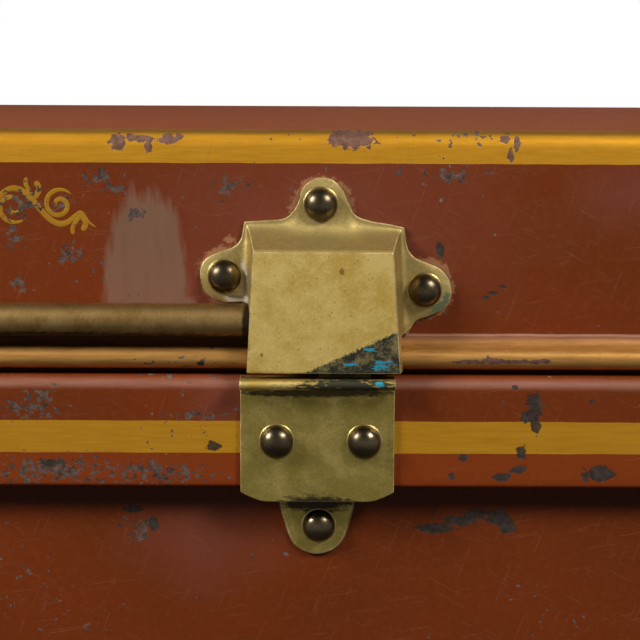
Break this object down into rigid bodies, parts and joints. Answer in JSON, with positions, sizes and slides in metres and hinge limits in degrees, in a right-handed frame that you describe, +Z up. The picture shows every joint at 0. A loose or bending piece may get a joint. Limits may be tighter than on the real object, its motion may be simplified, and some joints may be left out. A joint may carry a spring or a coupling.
{
  "type": "ship trunk",
  "caption": "Long painted sheet-metal trunk with a hinged lid, a brass lock that shoots bolt rods into side latches, and drop handles on its ends.",
  "frame": {"origin": "middle of the underside, on the floor", "axes": "+X along the trunk's length to the right as seen from the front, front towards -Y, +Z up"},
  "size_m": [0.8732, 0.467, 0.298],
  "materials": {
    "paint": "worn red-brown paint with gold lines",
    "brass": "aged, partly polished",
    "steel_wire": "drawn wire"
  },
  "bodies": {
    "trunk_body": {"bottom_pan": "paint", "wall_front": "paint", "wall_back": "paint", "wall_left": "paint", "wall_right": "paint", "collar_front": "paint", "collar_back": "paint", "collar_left": "paint", "collar_right": "paint", "left_keeper_plate": "brass", "left_keeper_tongue": "brass", "left_keeper_rivets": "brass", "left_hinge_body_leaf": "brass", "left_hinge_pin": "brass", "left_hinge_body_rivets": "brass", "left_handle_front_lug": "brass", "left_handle_rear_lug": "brass", "left_handle_rivets": "brass", "right_keeper_plate": "brass", "right_keeper_tongue": "brass", "right_keeper_rivets": "brass", "right_hinge_body_leaf": "brass", "right_hinge_pin": "brass", "right_hinge_body_rivets": "brass", "right_handle_front_lug": "brass", "right_handle_rear_lug": "brass", "right_handle_rivets": "brass"},
    "lid": {"lid_front": "paint", "lid_back": "paint", "lid_left": "paint", "lid_right": "paint", "lid_top": "paint", "lid_rim_wire": "steel_wire", "left_latch_box": "brass", "left_latch_box_rivets": "brass", "left_hinge_lid_leaf": "brass", "left_hinge_lid_rivets": "brass", "right_latch_box": "brass", "right_latch_box_rivets": "brass", "right_hinge_lid_leaf": "brass", "right_hinge_lid_rivets": "brass", "lock_case": "brass", "lock_back_plate": "brass", "lock_case_rivets": "brass", "keyhole_cover_pin": "brass"},
    "lock": {"lock_barrel": "brass"},
    "left_bolt": {"left_bolt_rod": "brass", "left_rack": "brass"},
    "right_bolt": {"right_bolt_rod": "brass", "right_rack": "brass"},
    "cover": {"keyhole_cover": "brass"},
    "left_handle": {"left_handle_bail": "brass"},
    "right_handle": {"right_handle_bail": "brass"}
  },
  "joints": [
    {"name": "lid_hinge", "type": "hinge", "parent": "trunk_body", "child": "lid", "pos_m": [0, 0.22895, 0.23], "axis": [-1, 0, 0], "range_deg": [0, 105]},
    {"name": "right_bolt_slide", "type": "slide", "parent": "lid", "child": "right_bolt", "axis": [1, 0, 0], "range_m": [0, 0.01178]},
    {"name": "left_bolt_slide", "type": "slide", "parent": "lid", "child": "left_bolt", "axis": [-1, 0, 0], "range_m": [0, 0.01178]},
    {"name": "lock_turn", "type": "hinge", "parent": "lid", "child": "lock", "pos_m": [0, -0.2167, 0.2448], "axis": [0, 1, 0], "range_deg": [0, 90]},
    {"name": "cover_swing", "type": "hinge", "parent": "lid", "child": "cover", "pos_m": [0, -0.2167, 0.2552], "axis": [0, 1, 0], "range_deg": [-100, 100]},
    {"name": "left_handle_swing", "type": "hinge", "parent": "trunk_body", "child": "left_handle", "pos_m": [-0.43, 0, 0.16], "axis": [0, 1, 0], "range_deg": [0, 95]},
    {"name": "right_handle_swing", "type": "hinge", "parent": "trunk_body", "child": "right_handle", "pos_m": [0.43, 0, 0.16], "axis": [0, -1, 0], "range_deg": [0, 95]}
  ],
  "couplings": [
    {"joint": "left_bolt_slide", "follows": "right_bolt_slide", "ratio": 1},
    {"joint": "lock_turn", "follows": "right_bolt_slide", "rad_per_m": 133.33}
  ]
}
